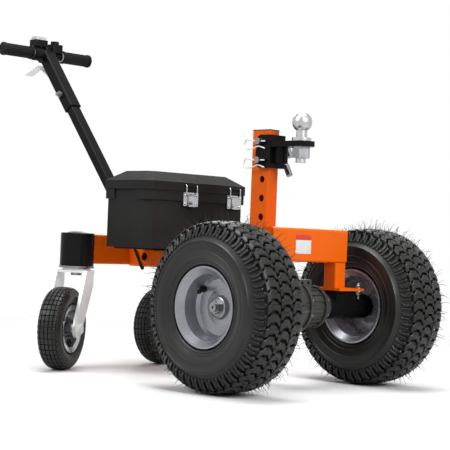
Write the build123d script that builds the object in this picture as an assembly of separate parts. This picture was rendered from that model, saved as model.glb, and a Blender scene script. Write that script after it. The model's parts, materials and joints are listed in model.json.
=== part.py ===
"""Electric trailer dolly: powered axle, hitch post with ball, battery box, casters and pole handle.

Millimetres. +X points forward (the ball end), +Y to the machine's left, +Z up. Sizes are measured from
the drive axle; at the end every piece is moved so that the origin lies on the floor under the middle of
the machine.
"""
import os
from math import cos, radians, sin

from build123d import *

# Drive wheels
tyre_radius = 190.5
tyre_width = 150.0
tyre_bulge_radius = 132.0
tyre_shoulder_radius = 172.0
tyre_shoulder_inset = 14.0
tyre_crown_half = 42.0
tyre_crown_drop = 2.5
tyre_wall_bow = 4.5
tyre_fit_gap = 0.3
half_track = 250.0
rim_flange_radius = 90.0
rim_seat_radius = 76.0
rim_well_radius = 71.0
rim_width = 129.0
rim_bead_half = 50.5
rim_well_half = 26.0
rim_lip = 4.0
rim_wall = 3.0
disc_offset = 12.0
disc_thickness = 5.0
dish_radius = 62.0
dish_depth = 9.0
dish_crown = 1.5
hub_radius = 20.0
hub_stand = 9.0
hub_barrel_radius = 28.0
hub_barrel_length = 20.0
shaft_radius = 10.0
shaft_stand = 24.0
shaft_inner_length = 120.0
shaft_centre_radius = 3.0
shaft_centre_depth = 6.0
shaft_nut_width = 27.0
shaft_nut_height = 9.0

# Powered axle
gear_drum_radius = 57.0
gear_drum_reach = 60.0
gear_barrel_radius = 45.0
gear_flange_radius = 62.0
gear_flange_y = (-28.0, -21.0)
gear_end_flange_radius = 50.0
gear_end_flange_y = (38.0, 47.0)
gear_neck_radius = 34.0
gear_reach = 74.0
gear_shoulder = 9.0
gear_lug_x = (-20.0, 32.0)
gear_lug_y = (-40.0, 2.0)
gear_lug_rise = 64.5
gear_pocket_radius = 4.0
gear_pocket_depth = 8.0
gear_pocket_drop = 8.0
gear_pocket_pitch = 20.0
axle_tube_radius = 30.0
axle_tube_end_gap = 8.0
axle_bore_gap = 0.3
saddle_width = 60.0
motor_flange_x = -76.0
motor_neck_radius = 42.0
motor_neck_length = 20.0
motor_radius = 52.0
motor_length = 150.0
motor_edge = 4.0
motor_end_radius = 42.0
motor_end_length = 12.0

# Frame
frame_wall = 3.0
tube_corner = 6.0
beam_depth = 40.0
beam_height = 78.0
beam_half_length = 130.0
beam_front = 28.0
bracket_depth = 40.0
bracket_width = 37.0
bracket_height = 60.0
flange_length = 82.0
flange_width = 90.0
flange_thickness = 6.0
saddle_rise = 38.5
post_depth = 59.0
post_width = 36.0
post_centre_x = -129.5
post_height = 297.0
pin_hole_radius = 8.25
pin_hole_pitch = 45.0
pin_hole_offset = 9.0
pin_hole_drop = 27.0
pin_hole_count = 5
spine_width = 64.0
spine_height = 46.0
spine_drop = 34.0
spine_hole_radius = 11.0
spine_hole_x = -515.0
spine_hole_rise = 26.0
rear_beam_x = -599.0
rear_beam_depth = 50.0
rear_beam_height = 75.0
rear_beam_rise = 3.0
brace_rise = 4.0
brace_height = 70.0

# Casters
swivel_spacing = 372.0
drum_radius = 43.0
drum_drop = 6.5
drum_height = 84.0
drum_edge = 2.0
cap_radius = 29.0
cap_seat = 3.0
cap_rise = 5.0
caster_plate_radius = 45.0
caster_plate_thickness = 5.0
race_radius = 36.0
race_gap = 1.0
crown_drop = 10.5
crown_thickness = 6.0
crown_length = 70.0
crown_shift = 5.0
crown_corner = 20.0
kingpin_radius = 9.0
kingpin_gap = 0.1
kingpin_head_radius = 14.0
kingpin_head_height = 6.0
fork_inner_width = 72.0
fork_leg_thickness = 8.0
fork_leg_x = (-10.0, 38.0)
fork_leg_bend_drop = 36.0
fork_eye_radius = 23.0
caster_trail = 78.0
caster_radius = 103.0
caster_width = 62.0
caster_bulge_radius = 78.0
caster_shoulder_radius = 93.0
caster_shoulder_inset = 5.0
caster_crown_half = 18.0
caster_crown_drop = 1.5
caster_rim_radius = 60.0
caster_rim_seat = 50.0
caster_rim_width = 54.0
caster_rim_wall = 3.0
caster_web_thickness = 5.0
caster_hub_radius = 21.0
caster_hub_length = 70.0
caster_axle_radius = 8.0
caster_axle_gap = 0.1
caster_nut_width = 22.0
caster_nut_height = 9.0
caster_right_angle = -61.0
caster_left_angle = -80.0

# Battery box
box_rear = -521.5
box_front = -353.5
box_half_width = 169.5
box_wall = 4.0
box_cut = 17.0
band_rise = 120.0
band_height = 24.0
band_stand = 4.5
grip_gap_length = 80.0
lid_gap = 0.5
lid_stand = 2.0
lid_rim_height = 21.5
lid_roof_rise = 25.0
lid_roof_run = 38.0
lid_roof_cut = 15.0
lid_wall = 3.0
hinge_offset = 7.0
hinge_pin_radius = 3.0
hinge_pin_gap = 0.15
hinge_barrel_radius = 6.0
hinge_y = 90.0
hinge_knuckle_length = 26.0
hinge_side_gap = 1.0
hinge_leaf_thickness = 4.0
hinge_leaf_drop = 18.0
tray_thickness = 4.0
tray_margin = 14.0
latch_inset = 50.0
latch_pitch = 154.5
latch_width = 50.0
latch_height = 34.0
latch_drop = 2.0
latch_thickness = 3.0
bail_wire_radius = 1.6
bail_half_width = 18.0
bail_top_rise = 16.0
bail_bottom_drop = 9.0
bail_gap = 1.5
bail_corner = 4.0
battery_side_gap = 13.5
battery_end_gap = 22.0
battery_top_gap = 20.0
battery_spacing = 6.0

# Ball mount
cheek_thickness = 8.0
cheek_rear = -137.0
cheek_drop = 11.0
cheek_height = 79.0
cheek_corner = 16.0
mount_web = 10.0
mount_gap = 0.2
platform_drop = 27.0
platform_thickness = 13.0
platform_front = 15.0
platform_width = 50.0
platform_clip = 12.0
gusset_length = 27.0
gusset_rise = 11.0
gusset_width = 30.0
gusset_corner = 12.0
ball_x = -15.0
ball_radius = 23.8
ball_rise = 45.0
ball_neck_radius = 13.0
ball_collar_radius = 23.0
ball_collar_height = 8.0
ball_shank_radius = 12.0
ball_shank_drop = 51.0
ball_hole_gap = 0.2
ball_washer_radius = 21.0
ball_washer_thickness = 4.5
ball_nut_width = 38.0
ball_nut_height = 22.0
pin_radius = 7.9
pin_stand_right = 14.0
pin_stand_left = 22.0
pin_bend_radius = 12.0
pin_handle_length = 36.0
pin_handle_angle = 30.0
clip_wire_radius = 1.7
clip_inset = 6.0
clip_loop_radius = 12.5
clip_loop_rise = 7.0
clip_bend = 10.5
clip_straight = 14.0
clip_rear_reach = 34.0
clip_front_reach = 20.0
clip_tail_drop = 6.0
clip_gap = 0.2

# Pole handle
pole_foot_x = -592.0
pole_angle = 39.5
pole_width = 30.0
pole_depth = 26.0
pole_wall = 2.5
pole_corner = 3.0
pole_start = 16.0
pole_end = 505.0
foot_plate_thickness = 6.0
foot_plate_width = 62.0
foot_cheek_thickness = 6.0
foot_cheek_gap = 0.3
foot_bolt_distance = 46.0
foot_eye_radius = 19.0
sleeve_start = 442.0
sleeve_length = 200.0
sleeve_wall = 3.5
sleeve_gap = 0.5
sleeve_corner = 5.0
bar_radius = 11.0
bar_seat = 4.0
bar_half_length = 152.0
bar_fit_gap = 0.1
grip_inner_y = 54.0
grip_end_width = 6.0
grip_radius = 16.0
grip_flange_radius = 18.5
grip_flange_width = 5.0
collar_radius = 15.0
collar_width = 7.0
throttle_inner_y = 22.0
throttle_radius = 20.0
throttle_lever_length = 34.0
throttle_lever_width = 12.0
throttle_lever_thickness = 6.0
control_y = -29.0
control_width = 42.0
control_depth = 34.0
control_height = 18.0
cover_inset = 3.0
cover_height = 9.0
pod_y = 28.0
pod_width = 36.0
pod_depth = 34.0
pod_height = 24.0
pod_rise = 8.0
knob_radius = 12.0
knob_height = 9.0
lock_distance = 52.0
lock_bolt_radius = 5.0
lock_nut_width = 17.0
lock_nut_height = 8.0
hook_distance = 133.0
hook_width = 24.0
hook_thickness = 4.0
hook_rise = 66.0
hook_drop = 62.0
hook_rise_angle = 33.0
hook_drop_angle = 21.0

# Cable from the rear beam through the spine to the motor
cable_radius = 3.5
cable_side_gap = 2.5
cable_exit_rise = 57.0
cable_dip = 5.0
cable_bend = 6.0
cable_lead = 20.0
cable_hole_radius = 7.0
cable_hole_y = -20.0
cable_in_x = -532.0
cable_out_x = -326.0
cable_inside_rise = 20.0

# Middle of the widest points, the right caster's tyre and the left drive tyre
origin_y = -13.93

# Values worked out from the ones above
axle_z = tyre_radius
flange_bottom = axle_z + saddle_rise
flange_top = flange_bottom + flange_thickness
beam_bottom = flange_top + bracket_height
beam_rear = beam_front - beam_depth
bracket_inner_y = beam_half_length - bracket_width
gear_lug_top = axle_z + gear_lug_rise
post_front = post_centre_x + post_depth / 2
post_rear = post_centre_x - post_depth / 2
pin_x = post_centre_x + pin_hole_offset
spine_bottom = beam_bottom - spine_drop
spine_top = spine_bottom + spine_height
spine_hole_z = spine_bottom + spine_hole_rise
brace_bottom = beam_bottom + brace_rise
post_top = spine_top + post_height
pin_hole_top = post_top - pin_hole_drop
spine_rear = rear_beam_x + rear_beam_depth / 2
box_bottom = spine_top + tray_thickness
rear_beam_bottom = spine_bottom + rear_beam_rise
rear_beam_top = rear_beam_bottom + rear_beam_height
swivel_y = swivel_spacing / 2
drum_bottom = rear_beam_bottom - drum_drop
drum_top = drum_bottom + drum_height
crown_top = drum_bottom - crown_drop
caster_plate_bottom = drum_bottom - caster_plate_thickness
crown_bottom = crown_top - crown_thickness
fork_outer = fork_inner_width / 2 + fork_leg_thickness
hub_inner_y = half_track + disc_offset - disc_thickness - hub_barrel_length
motor_rear = motor_flange_x - motor_neck_length - motor_length - motor_end_length
band_bottom = box_bottom + band_rise
band_top = band_bottom + band_height
band_rear = box_rear - band_stand
band_front = box_front + band_stand
band_half_width = box_half_width + band_stand
lid_rear = band_rear - lid_stand
lid_front = band_front + lid_stand
lid_half_width = band_half_width + lid_stand
lid_bottom = band_top + lid_gap
lid_rim_top = lid_bottom + lid_rim_height
lid_roof_top = lid_rim_top + lid_roof_rise
latch_left_y = box_half_width - latch_inset
latch_middles = (latch_left_y - latch_pitch, latch_left_y)
hinge_x = lid_rear - hinge_offset
cheek_top = post_top - cheek_drop
cheek_bottom = cheek_top - cheek_height
cheek_inner_y = post_width / 2 + mount_gap
platform_top = post_top - platform_drop
ball_centre_z = platform_top + ball_rise
ball_shank_end = platform_top - ball_shank_drop
mount_front = post_front + mount_gap + mount_web
foot_top = rear_beam_top + foot_plate_thickness
foot_point = Vector(pole_foot_x, 0, foot_top)
pole_up = Vector(-sin(radians(pole_angle)), 0, cos(radians(pole_angle)))
sleeve_width = pole_width + 2 * (sleeve_gap + sleeve_wall)
sleeve_depth = pole_depth + 2 * (sleeve_gap + sleeve_wall)
bar_centre = foot_point + pole_up * (sleeve_start + sleeve_length + bar_radius - bar_seat)
hook_root = foot_point + pole_up * (sleeve_start + hook_distance)
hook_root += Vector(-cos(radians(pole_angle)), 0, -sin(radians(pole_angle))) * sleeve_depth / 2
hook_apex = hook_root + Vector(-cos(radians(hook_rise_angle)), 0, sin(radians(hook_rise_angle))) * hook_rise
hook_tip = hook_apex + Vector(-cos(radians(hook_drop_angle)), 0, -sin(radians(hook_drop_angle))) * hook_drop
origin_x = (tyre_radius + hook_tip.X - hook_thickness / 2 * sin(radians(hook_drop_angle))) / 2


def block(x, y, z):
    """Box between two x, two y and two z values."""
    middle = Pos((x[0] + x[1]) / 2, (y[0] + y[1]) / 2, (z[0] + z[1]) / 2)
    return middle * Box(x[1] - x[0], y[1] - y[0], z[1] - z[0])


def rod(start, end, radius):
    """Round bar from one point to another."""
    start, end = Vector(start), Vector(end)
    plane = Plane(origin=start, z_dir=end - start)
    return extrude(plane * Circle(radius), (end - start).length)


def hexagon(start, end, width):
    """Hexagonal bar of the given width across its flats."""
    start, end = Vector(start), Vector(end)
    plane = Plane(origin=start, z_dir=end - start)
    return extrude(plane * RegularPolygon(width / 2, 6, major_radius=False), (end - start).length)


def square_tube(plane, width, depth, length, wall, corner):
    """Rectangular tube with rounded corners along the plane's normal, open at both ends."""
    outer = RectangleRounded(width, depth, corner)
    inner = RectangleRounded(width - 2 * wall, depth - 2 * wall, max(corner - wall, wall / 6))
    return extrude(plane * (outer - inner), length)


def capped_tube(plane, width, depth, length, wall, corner):
    """Rectangular tube whose ends are closed by welded plates."""
    cap = extrude(plane * RectangleRounded(width, depth, corner), wall)
    far_cap = extrude(plane.offset(length - wall) * RectangleRounded(width, depth, corner), wall)
    return square_tube(plane, width, depth, length, wall, corner) + cap + far_cap


def turned(points):
    """Revolve a closed outline of (radius, y) corners about the Y axis."""
    return revolve(make_face(Polyline(*points, close=True)), Axis.Y)


def bent_wire(points, corner, radius):
    """Round wire along straight runs joined by tangent arcs."""
    path = FilletPolyline(*points, radius=corner)
    return sweep(Plane(origin=path @ 0, z_dir=path % 0) * Circle(radius), path)


def pair(right):
    """A right-hand piece and its mirror image on the left."""
    return right + mirror(right, about=Plane.XZ)


def pole_plane(distance):
    """Plane across the pole: its normal runs up the pole, x to the left, y to the pole's rear face."""
    return Plane(origin=foot_point + pole_up * distance, x_dir=(0, 1, 0), z_dir=pole_up)


def upright_plane(y):
    """Plane at the given y whose x runs forward and whose y runs up."""
    return Plane(origin=(0, y, 0), x_dir=(1, 0, 0), z_dir=(0, -1, 0))


def tyre_profile(seat, bead, flange, bulge, half, shoulder, crown, radius):
    """Half section of a tyre, mirrored: bead, bowed sidewall, rounded shoulder and slightly crowned tread.

    Flange, shoulder and crown are points: the top of the rim's flange, the shoulder and the tread's edge.
    """
    bow = tyre_wall_bow
    low = (flange[0] + bulge) / 2
    high = (bulge + shoulder[0]) / 2
    rounding = ((shoulder[0] + 2 * radius) / 3, (shoulder[1] * 2 + crown[0]) / 3)
    side = Polyline((seat, 0), (seat, bead), flange)
    side += ThreePointArc(flange, (low, half - bow), (bulge, half))
    side += ThreePointArc((bulge, half), (high, half - bow), shoulder)
    side += ThreePointArc(shoulder, rounding, (radius - crown[1], crown[0]))
    side += ThreePointArc((radius - crown[1], crown[0]), (radius - crown[1] / 4, crown[0] / 2), (radius, 0))
    outer = make_face(side + Line((radius, 0), (seat, 0)))
    return outer + mirror(outer, about=Plane.XZ)


def drive_tyre():
    """Turf tyre about y = 0, out to the tips of its tread, on the rim's bead seats."""
    half = tyre_width / 2
    bead = rim_bead_half - tyre_fit_gap
    flange = (rim_flange_radius + tyre_fit_gap, rim_width / 2 - rim_wall - tyre_fit_gap)
    shoulder = (tyre_shoulder_radius, half - tyre_shoulder_inset)
    crown = (tyre_crown_half, tyre_crown_drop)
    section = tyre_profile(rim_seat_radius + tyre_fit_gap, bead, flange, tyre_bulge_radius, half, shoulder,
                           crown, tyre_radius)
    return revolve(section, Axis.Y)


def drive_rim():
    """Pressed rim about y = 0, outer face towards -y: coned flanges, drop well and a dished disc."""
    half, bead, drop = rim_width / 2, rim_bead_half, rim_well_half
    well, seat, lip = rim_well_radius - rim_wall, rim_seat_radius - rim_wall, rim_flange_radius - rim_lip
    face, back = -disc_offset, disc_thickness - disc_offset
    middle = (dish_radius + hub_radius) / 2
    return turned([
        (rim_flange_radius, -half), (rim_flange_radius, rim_wall - half), (rim_seat_radius, -bead),
        (rim_well_radius, -drop), (rim_well_radius, drop), (rim_seat_radius, bead),
        (rim_flange_radius, half - rim_wall), (rim_flange_radius, half), (lip, half), (seat, bead),
        (well, drop), (well, back), (dish_radius, back + dish_crown), (middle, back + dish_crown),
        (hub_barrel_radius, back), (hub_radius, back), (hub_radius, face), (middle, face + dish_crown),
        (dish_radius, face - dish_crown), (well, face - dish_depth), (well, -drop), (seat, -bead),
        (lip, -half),
    ])


def drive_hub():
    """Hub about y = 0: boss in the disc, barrel and drive shaft inwards (+y), nut on the outer end."""
    face, back = -disc_offset, disc_thickness - disc_offset
    inner = back + hub_barrel_length
    tip = face - shaft_stand
    hub = rod((0, face - hub_stand, 0), (0, back, 0), hub_radius - tyre_fit_gap)
    hub += rod((0, back, 0), (0, inner, 0), hub_barrel_radius)
    hub += rod((0, tip, 0), (0, inner + shaft_inner_length, 0), shaft_radius)
    hub += hexagon((0, face - hub_stand, 0), (0, face - hub_stand - shaft_nut_height, 0), shaft_nut_width)
    return hub - rod((0, tip, 0), (0, tip + shaft_centre_depth, 0), shaft_centre_radius)


def gearbox():
    """Cast gear casing: large drum on the right, barrel on the left, flanges, motor boss and lug."""
    start, end = gear_flange_y
    ring_start, ring_end = gear_end_flange_y
    casing = turned([
        (0, -gear_reach), (gear_neck_radius, -gear_reach),
        (gear_neck_radius, -gear_drum_reach - gear_shoulder),
        (gear_drum_radius - gear_shoulder, -gear_drum_reach),
        (gear_drum_radius, gear_shoulder - gear_drum_reach),
        (gear_drum_radius, start), (gear_flange_radius, start), (gear_flange_radius, end),
        (gear_drum_radius, end), (gear_barrel_radius, end + gear_shoulder), (gear_barrel_radius, ring_start),
        (gear_end_flange_radius, ring_start), (gear_end_flange_radius, ring_end),
        (gear_neck_radius, ring_end),
        (gear_neck_radius, gear_reach), (0, gear_reach),
    ])
    casing += rod((0, 0, 0), (motor_flange_x, 0, 0), motor_neck_radius)
    casing = Pos(0, 0, axle_z) * casing
    casing += block(gear_lug_x, gear_lug_y, (axle_z, gear_lug_top))
    pocket_z = gear_lug_top - gear_pocket_drop
    middle_y = sum(gear_lug_y) / 2
    for side in (-1, 1):
        start = Vector(gear_lug_x[1], middle_y + side * gear_pocket_pitch / 2, pocket_z)
        casing -= rod(start, start - Vector(gear_pocket_depth, 0, 0), gear_pocket_radius)
    return casing


def axle_tubes():
    """Axle tubes with the saddles that carry the brackets, bored for the drive shafts."""
    end = hub_inner_y - axle_tube_end_gap
    shaft_end = hub_inner_y - shaft_inner_length - axle_tube_end_gap
    tube = rod((0, -gear_reach, axle_z), (0, -end, axle_z), axle_tube_radius)
    tube += block((-saddle_width / 2, saddle_width / 2), (-bracket_inner_y - flange_width, -bracket_inner_y),
                  (axle_z, flange_bottom))
    return pair(tube - rod((0, -shaft_end, axle_z), (0, -end, axle_z), shaft_radius + axle_bore_gap))


def drive_motor():
    """Motor behind the gear casing: neck, body and end bell."""
    neck_end = motor_flange_x - motor_neck_length
    body_end = neck_end - motor_length
    body = rod((neck_end, 0, axle_z), (body_end, 0, axle_z), motor_radius)
    body = chamfer(body.edges().filter_by(GeomType.CIRCLE), motor_edge)
    body += rod((motor_flange_x, 0, axle_z), (neck_end, 0, axle_z), motor_neck_radius)
    return body + rod((body_end, 0, axle_z), (motor_rear, 0, axle_z), motor_end_radius)


def front_beam():
    """Cross tube over the drive axle."""
    start = ((beam_front + beam_rear) / 2, -beam_half_length, beam_bottom + beam_height / 2)
    plane = Plane(origin=start, x_dir=(1, 0, 0), z_dir=(0, 1, 0))
    return capped_tube(plane, beam_depth, beam_height, 2 * beam_half_length, frame_wall, tube_corner)


def axle_brackets():
    """Short tubes under the beam's ends with the flange plates bolted to the axle saddles."""
    middle_x = beam_front - bracket_depth / 2
    plane = Plane(origin=(middle_x, -bracket_inner_y - bracket_width / 2, flange_top))
    height = beam_bottom - flange_top
    bracket = square_tube(plane, bracket_depth, bracket_width, height, frame_wall, tube_corner)
    bracket += block((-flange_length / 2, flange_length / 2),
                     (-bracket_inner_y - flange_width, -bracket_inner_y), (flange_bottom, flange_top))
    return pair(bracket)


def hitch_post():
    """Upright tube with a row of pin holes, closed on top."""
    plane = Plane(origin=(post_centre_x, 0, spine_top))
    post = capped_tube(plane, post_depth, post_width, post_top - spine_top, frame_wall, tube_corner)
    for step in range(pin_hole_count):
        hole_z = pin_hole_top - step * pin_hole_pitch
        post -= rod((pin_x, -post_width, hole_z), (pin_x, post_width, hole_z), pin_hole_radius)
    return post


def frame_spine():
    """Tube from the rear beam forward under the post, with a hole in its side and two for the cable below."""
    middle_z = (spine_bottom + spine_top) / 2
    plane = Plane(origin=(spine_rear, 0, middle_z), x_dir=(0, 1, 0), z_dir=(1, 0, 0))
    spine = capped_tube(plane, spine_width, spine_height, post_front - spine_rear, frame_wall, tube_corner)
    hole = (spine_hole_x, -spine_width, spine_hole_z)
    spine -= rod(hole, (spine_hole_x, 0, spine_hole_z), spine_hole_radius)
    for x in (cable_in_x, cable_out_x):
        spine -= rod((x, cable_hole_y, 0), (x, cable_hole_y, middle_z), cable_hole_radius)
    return spine


def post_brace():
    """Tube that ties the post to the front beam."""
    plane = Plane(origin=(post_front, 0, brace_bottom + brace_height / 2), x_dir=(0, 1, 0), z_dir=(1, 0, 0))
    brace = square_tube(plane, post_width, brace_height, beam_rear - post_front, frame_wall, tube_corner)
    return brace - block((post_rear, post_front), (-post_width, post_width), (0, spine_top))


def rear_beam():
    """Cross tube between the caster drums."""
    plane = Plane(origin=(rear_beam_x, -swivel_y, rear_beam_bottom + rear_beam_height / 2), x_dir=(1, 0, 0),
                  z_dir=(0, 1, 0))
    beam = square_tube(plane, rear_beam_depth, rear_beam_height, swivel_spacing, frame_wall, tube_corner)
    for side in (-1, 1):
        place = (rear_beam_x, side * swivel_y)
        beam -= rod((*place, drum_bottom), (*place, drum_top), drum_radius)
    return beam


def caster_drums():
    """Round caster housings at the ends of the rear beam, with seats for their caps."""
    drum = rod((0, 0, drum_bottom), (0, 0, drum_top), drum_radius)
    drum = chamfer(drum.edges().filter_by(GeomType.CIRCLE), drum_edge)
    drum -= rod((0, 0, drum_top - cap_seat), (0, 0, drum_top), cap_radius)
    return pair(Pos(rear_beam_x, -swivel_y, 0) * drum)


def drum_caps():
    """Low domed plugs in the tops of the drums."""
    edge, top = cap_radius - tyre_fit_gap, drum_top + cap_rise
    dome_radius = (edge ** 2 + cap_rise ** 2) / (2 * cap_rise)
    cap = rod((0, 0, drum_top - cap_seat), (0, 0, top), edge)
    cap &= Pos(0, 0, top - dome_radius) * Sphere(dome_radius)
    return pair(Pos(rear_beam_x, -swivel_y, 0) * cap)


def caster_plates():
    """Round top plates under the drums with the kingpins that carry the forks."""
    plate = rod((0, 0, caster_plate_bottom), (0, 0, drum_bottom), caster_plate_radius)
    head_top = crown_bottom - race_gap
    plate += rod((0, 0, head_top), (0, 0, caster_plate_bottom), kingpin_radius)
    plate += rod((0, 0, head_top - kingpin_head_height), (0, 0, head_top), kingpin_head_radius)
    return pair(Pos(rear_beam_x, -swivel_y, 0) * plate)


def caster_fork():
    """Fork about the swivel axis with its wheel trailing towards +x: crown, ball race and two broad legs."""
    crown = Pos(crown_shift, 0) * RectangleRounded(crown_length, 2 * fork_outer, crown_corner)
    fork = extrude(Plane(origin=(0, 0, crown_bottom)) * crown, crown_thickness)
    fork += rod((0, 0, crown_top), (0, 0, caster_plate_bottom - race_gap), race_radius)
    fork -= rod((0, 0, crown_bottom), (0, 0, drum_bottom), kingpin_radius + kingpin_gap)
    rear, front = fork_leg_x
    top = Polyline((rear, crown_top - fork_leg_bend_drop), (rear, crown_top), (front, crown_top))
    eye = Pos(caster_trail, caster_radius) * Circle(fork_eye_radius)
    leg = make_hull(top.edges() + eye.edges())
    leg -= Pos(caster_trail, caster_radius) * Circle(caster_axle_radius + caster_axle_gap)
    for inner in (fork_inner_width / 2, -fork_outer):
        fork += extrude(upright_plane(inner) * leg, -fork_leg_thickness)
    return fork


def caster_axle():
    """Axle bolt through the fork's legs with its head and nut."""
    end = fork_outer + caster_nut_height
    axle = rod((0, -end, 0), (0, end, 0), caster_axle_radius)
    for side in (-1, 1):
        axle += hexagon((0, side * fork_outer, 0), (0, side * end, 0), caster_nut_width)
    return Pos(caster_trail, 0, caster_radius) * axle


def caster_rim():
    """Pressed caster rim with a centre web and a hub tube bored for the axle."""
    half, wall = caster_rim_width / 2, caster_rim_wall
    web, hub = caster_web_thickness / 2, caster_hub_length / 2
    bore, inner = caster_axle_radius + caster_axle_gap, caster_rim_seat - wall
    rim = turned([
        (caster_rim_radius, -half), (caster_rim_radius, wall - half), (caster_rim_seat, 2 * wall - half),
        (caster_rim_seat, half - 2 * wall), (caster_rim_radius, half - wall), (caster_rim_radius, half),
        (inner, half - wall), (inner, web), (caster_hub_radius, web), (caster_hub_radius, hub), (bore, hub),
        (bore, -hub), (caster_hub_radius, -hub), (caster_hub_radius, -web), (inner, -web),
        (inner, wall - half),
    ])
    return Pos(caster_trail, 0, caster_radius) * rim


def caster_tyre():
    """Pneumatic caster tyre on its rim."""
    half = caster_width / 2
    bead = caster_rim_width / 2 - 2 * caster_rim_wall - tyre_fit_gap
    shoulder = (caster_shoulder_radius, half - caster_shoulder_inset)
    crown = (caster_crown_half, caster_crown_drop)
    flange = (caster_rim_radius + tyre_fit_gap, bead)
    section = tyre_profile(caster_rim_seat + tyre_fit_gap, bead, flange, caster_bulge_radius, half, shoulder,
                           crown, caster_radius)
    return Pos(caster_trail, 0, caster_radius) * revolve(section, Axis.Y)


def cut_plan(length, width, cut):
    """Rectangle with its four corners cut off at 45 degrees."""
    plan = Rectangle(length, width)
    return chamfer(plan.vertices(), cut)


def battery_tray():
    """Plate on the spine under the battery box, a little smaller than the box."""
    length, width = box_front - box_rear - 2 * tray_margin, 2 * (box_half_width - tray_margin)
    plane = Plane(origin=((box_rear + box_front) / 2, 0, spine_top))
    return extrude(plane * cut_plan(length, width, box_cut), tray_thickness)


def battery_box():
    """Open box with a raised band round its mouth, hand gaps in the band's ends and hinge knuckles behind."""
    middle_x = (box_rear + box_front) / 2
    plane = Plane(origin=(middle_x, 0, 0))
    length, width = box_front - box_rear, 2 * box_half_width
    shell = extrude(plane.offset(box_bottom) * cut_plan(length, width, box_cut), band_top - box_bottom)
    band_plan = cut_plan(length + 2 * band_stand, width + 2 * band_stand, box_cut)
    band = extrude(plane.offset(band_bottom) * band_plan, band_top - band_bottom)
    grip = (middle_x - grip_gap_length / 2, middle_x + grip_gap_length / 2)
    band -= block(grip, (box_half_width, band_half_width), (band_bottom, band_top))
    band -= block(grip, (-band_half_width, -box_half_width), (band_bottom, band_top))
    hollow_plan = cut_plan(length - 2 * box_wall, width - 2 * box_wall, box_cut)
    shell += band
    shell -= extrude(plane.offset(box_bottom + box_wall) * hollow_plan, band_top - box_bottom)
    return shell + hinge_knuckles()


def hinge_knuckles():
    """Pins and lugs on the back of the box that carry the lid's ears."""
    knuckles = Part()
    half = hinge_knuckle_length / 2
    leaf_top = lid_bottom - hinge_barrel_radius
    for side in (-1, 1):
        y = side * hinge_y
        ends = (y - half, y + half)
        leaf = block((hinge_x - hinge_leaf_thickness / 2, band_rear), ends,
                     (leaf_top - hinge_leaf_drop, leaf_top))
        lug = block((hinge_x - hinge_barrel_radius, hinge_x + hinge_leaf_thickness / 2), ends,
                    (leaf_top - hinge_leaf_drop, lid_bottom))
        lug += rod((hinge_x, ends[0], lid_bottom), (hinge_x, ends[1], lid_bottom), hinge_barrel_radius)
        gap = half / 2 + hinge_side_gap
        lug -= block((hinge_x - 2 * hinge_barrel_radius, band_rear), (y - gap, y + gap),
                     (leaf_top - hinge_side_gap, lid_rim_top))
        pin = rod((hinge_x, ends[0], lid_bottom), (hinge_x, ends[1], lid_bottom), hinge_pin_radius)
        knuckles += leaf + lug + pin
    return knuckles


def lid_form(inset):
    """Rim and hipped roof of the lid, drawn in by the given inset on every face."""
    plane = Plane(origin=((lid_rear + lid_front) / 2, 0, 0))
    length, width = lid_front - lid_rear - 2 * inset, 2 * (lid_half_width - inset)
    roof_length, roof_width = length - 2 * lid_roof_run, width - 2 * lid_roof_run
    rim_top = lid_rim_top - inset / 2
    rim = extrude(plane.offset(lid_bottom) * cut_plan(length, width, box_cut), rim_top - lid_bottom)
    roof_plan = cut_plan(roof_length, roof_width, lid_roof_cut)
    return rim + loft([plane.offset(rim_top) * cut_plan(length, width, box_cut),
                       plane.offset(lid_roof_top - inset) * roof_plan])


def battery_lid():
    """Hollow lid with an upright rim, a hipped roof and ears on the hinge pins."""
    lid = lid_form(0) - lid_form(lid_wall)
    ear = hinge_knuckle_length / 4
    for side in (-1, 1):
        start = (hinge_x, side * hinge_y - ear, lid_bottom)
        end = (hinge_x, side * hinge_y + ear, lid_bottom)
        hinge = rod(start, end, hinge_barrel_radius)
        hinge += block((hinge_x, lid_rear), (start[1], end[1]),
                       (lid_bottom, lid_bottom + hinge_barrel_radius))
        lid += hinge - rod(start, end, hinge_pin_radius + hinge_pin_gap)
    return lid


def latch_plates():
    """Draw-latch plates on the front of the band."""
    top = band_top - latch_drop
    plates = Part()
    for y in latch_middles:
        sides = (y - latch_width / 2, y + latch_width / 2)
        plates += block((band_front, band_front + latch_thickness), sides, (top - latch_height, top))
    return plates


def latch_bails():
    """Wire bails that hang from the lid's front over the latch plates."""
    x = band_front + latch_thickness + bail_gap + bail_wire_radius
    top, bottom = lid_bottom + bail_top_rise, band_top - bail_bottom_drop
    bails = Part()
    for y in latch_middles:
        right, left = y - bail_half_width, y + bail_half_width
        points = [(lid_front, right, top), (x, right, top), (x, right, bottom), (x, left, bottom),
                  (x, left, top), (lid_front, left, top)]
        bails += bent_wire(points, bail_corner, bail_wire_radius)
    return bails


def batteries():
    """The two batteries inside the box."""
    rear, front = box_rear + box_wall + battery_end_gap, box_front - box_wall - battery_end_gap
    outer = box_half_width - box_wall - battery_side_gap
    low = box_bottom + box_wall
    return pair(block((rear, front), (-outer, -battery_spacing / 2), (low, band_bottom - battery_top_gap)))


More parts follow.
